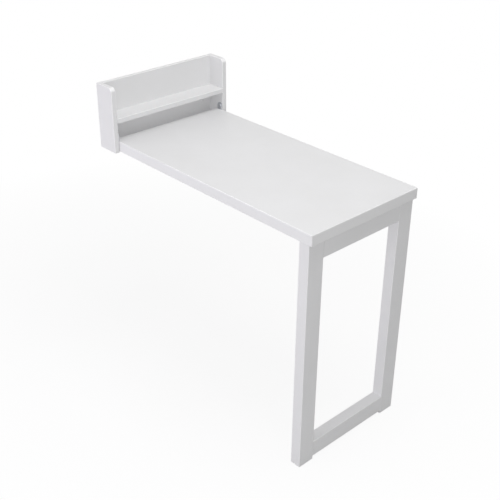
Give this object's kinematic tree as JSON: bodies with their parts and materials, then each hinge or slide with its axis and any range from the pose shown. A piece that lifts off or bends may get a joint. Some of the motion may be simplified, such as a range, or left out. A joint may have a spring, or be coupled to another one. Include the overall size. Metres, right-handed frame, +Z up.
{
  "type": "wall-hung folding table",
  "caption": "Wall-hung folding table: a small rack with a shelf, a tabletop that turns up in front of it and a rectangular leg frame that folds flat under the tabletop.",
  "frame": {"origin": "on the wall plane, midway between the two wall screw holes of the back panel", "axes": "+X along the wall to the right as seen from the room, +Y into the wall, +Z up; the table reaches out towards -Y"},
  "size_m": [0.43, 0.846, 0.893],
  "materials": {
    "white_board": "fibreboard faced with a white satin laminate",
    "white_edge_band": "white plastic edge band, satin, with rounded edges",
    "zinc_steel": "zinc-plated steel",
    "natural_nylon": "natural nylon",
    "beech": "raw beech"
  },
  "bodies": {
    "rack": {"side_panel_left": "white_board", "side_panel_right": "white_board", "back_panel": "white_board", "rack_shelf": "white_board", "rack_cam_locks": "zinc_steel", "rack_cam_bolts": "zinc_steel", "rack_dowels": "beech", "shelf_screws": "zinc_steel", "wall_hanger_plates": "zinc_steel", "wall_hanger_screws": "zinc_steel", "pivot_bushes": "natural_nylon"},
    "tabletop": {"tabletop_board": "white_board", "edge_band_left": "white_edge_band", "edge_band_right": "white_edge_band", "edge_band_free_end": "white_edge_band", "edge_band_rear": "white_edge_band", "pivot_plate_left": "zinc_steel", "pivot_plate_right": "zinc_steel", "pivot_pins": "zinc_steel", "pivot_washers": "natural_nylon", "pivot_plate_screws": "zinc_steel", "top_hinge_leaf_left": "zinc_steel", "top_hinge_leaf_right": "zinc_steel", "top_hinge_screws": "zinc_steel", "leg_hinge_pins": "zinc_steel"},
    "leg_frame": {"leg_post_left": "white_board", "leg_post_right": "white_board", "leg_top_rail": "white_board", "leg_bottom_rail": "white_board", "leg_dowels": "beech", "foot_glides": "natural_nylon", "leg_hinge_leaf_left": "zinc_steel", "leg_hinge_leaf_right": "zinc_steel", "leg_hinge_screws": "zinc_steel"}
  },
  "joints": [
    {"name": "tabletop_fold", "type": "hinge", "parent": "rack", "child": "tabletop", "pos_m": [0, -0.06, -0.0155], "axis": [-1, 0, 0], "range_deg": [0, 90]},
    {"name": "leg_fold", "type": "hinge", "parent": "tabletop", "child": "leg_frame", "pos_m": [0, -0.7997, -0.0623], "axis": [1, 0, 0], "range_deg": [0, 90]}
  ]
}
